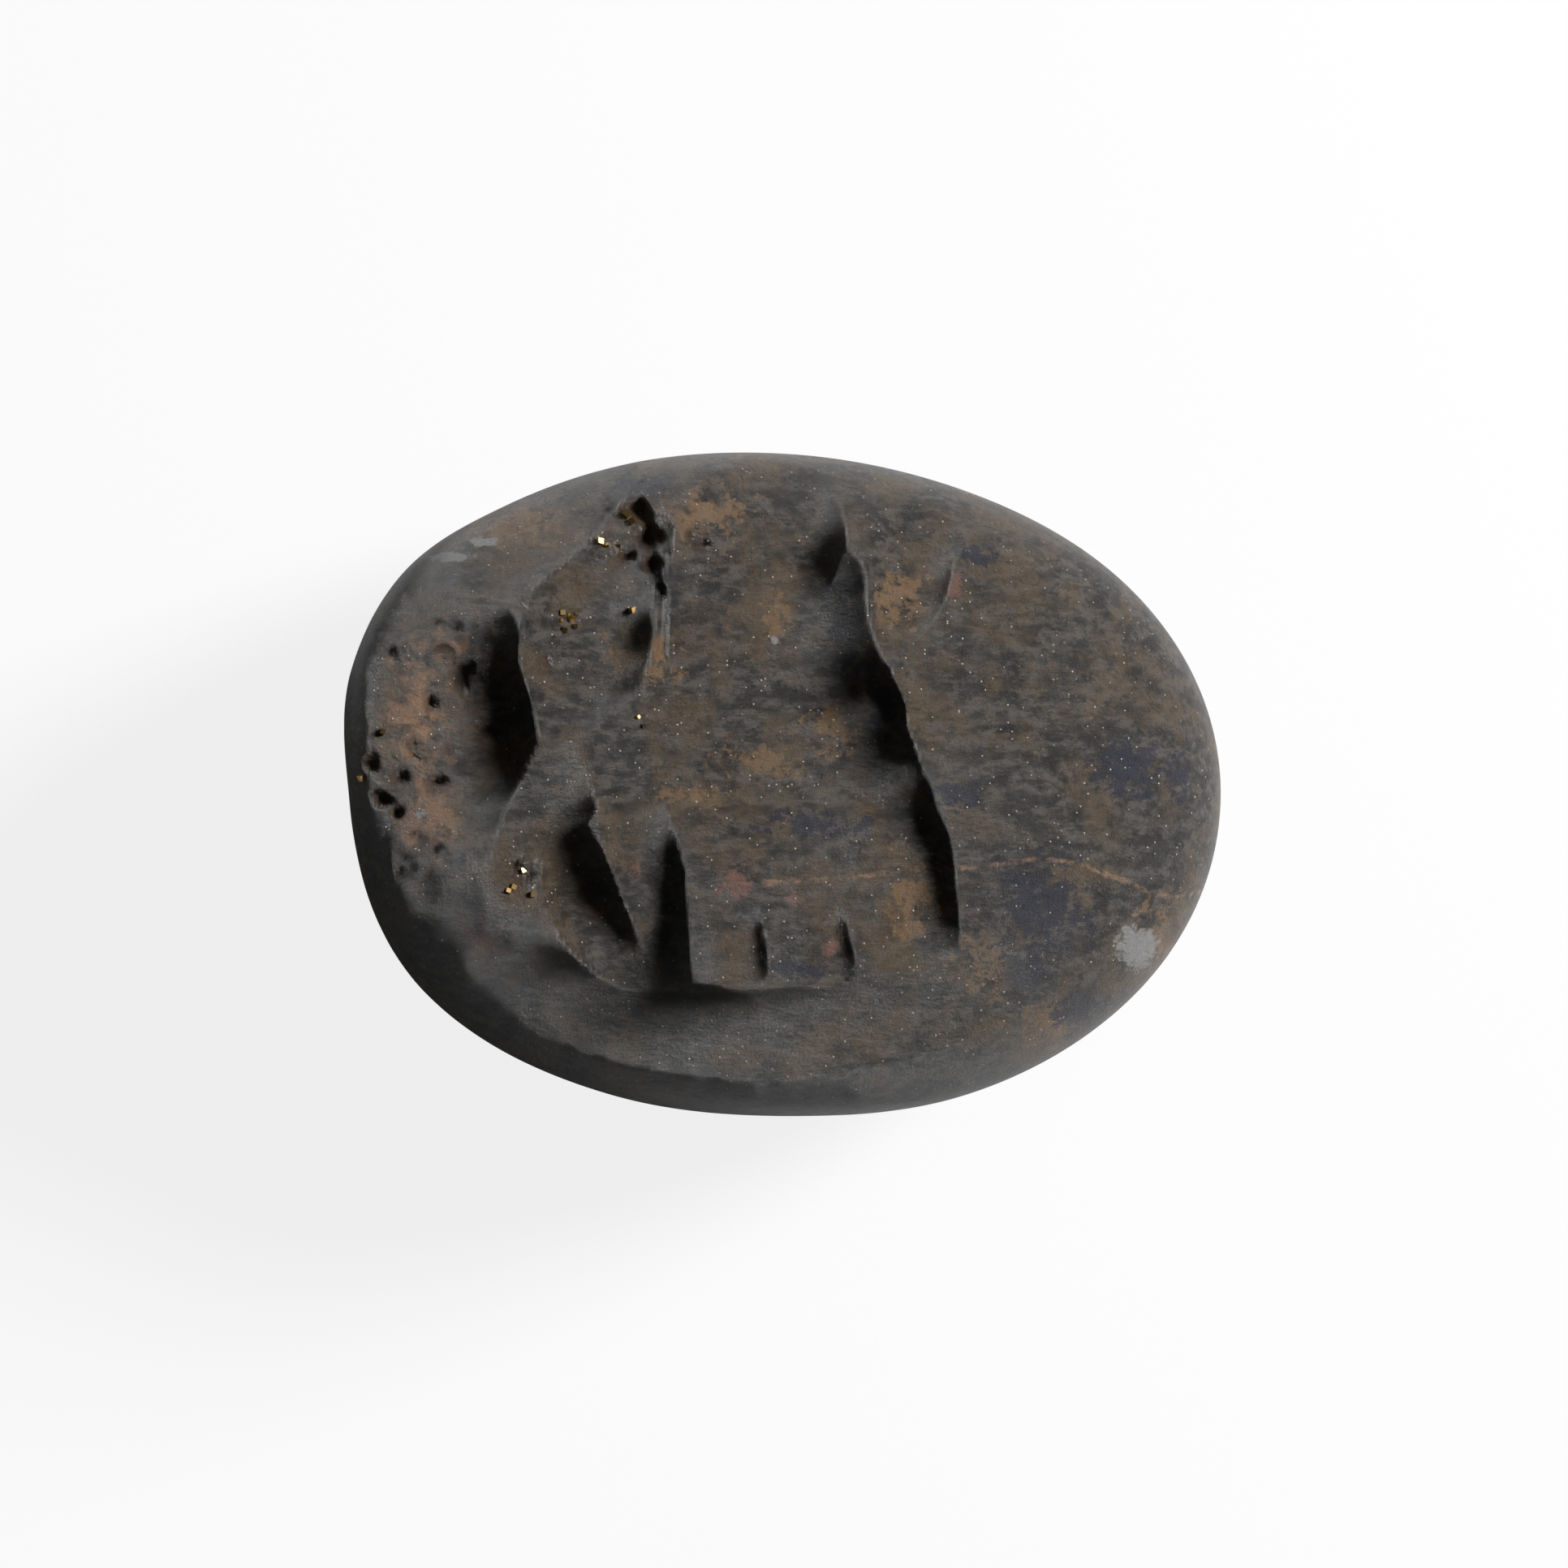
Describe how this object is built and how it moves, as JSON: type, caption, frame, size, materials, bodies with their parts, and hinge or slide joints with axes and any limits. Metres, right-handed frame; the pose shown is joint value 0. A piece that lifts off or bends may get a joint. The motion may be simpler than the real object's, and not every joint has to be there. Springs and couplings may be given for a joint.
{
  "type": "intaglio gem",
  "caption": "Worn oval intaglio gem of dark mottled stone, its domed face engraved with a standing animal on a ground line, its back low and domed with a small resting flat.",
  "frame": {"origin": "bottom centre of the bounding box, on the flat that the stone rests on", "axes": "+X to the right-hand end of the engraved face, +Y to its head, +Z out of the engraved face"},
  "size_m": [0.018, 0.0136, 0.0075],
  "materials": {
    "dark_stone": "worn polish, slightly glossy"
  },
  "bodies": {
    "root": {"engraved_stone": "dark_stone"}
  },
  "joints": []
}
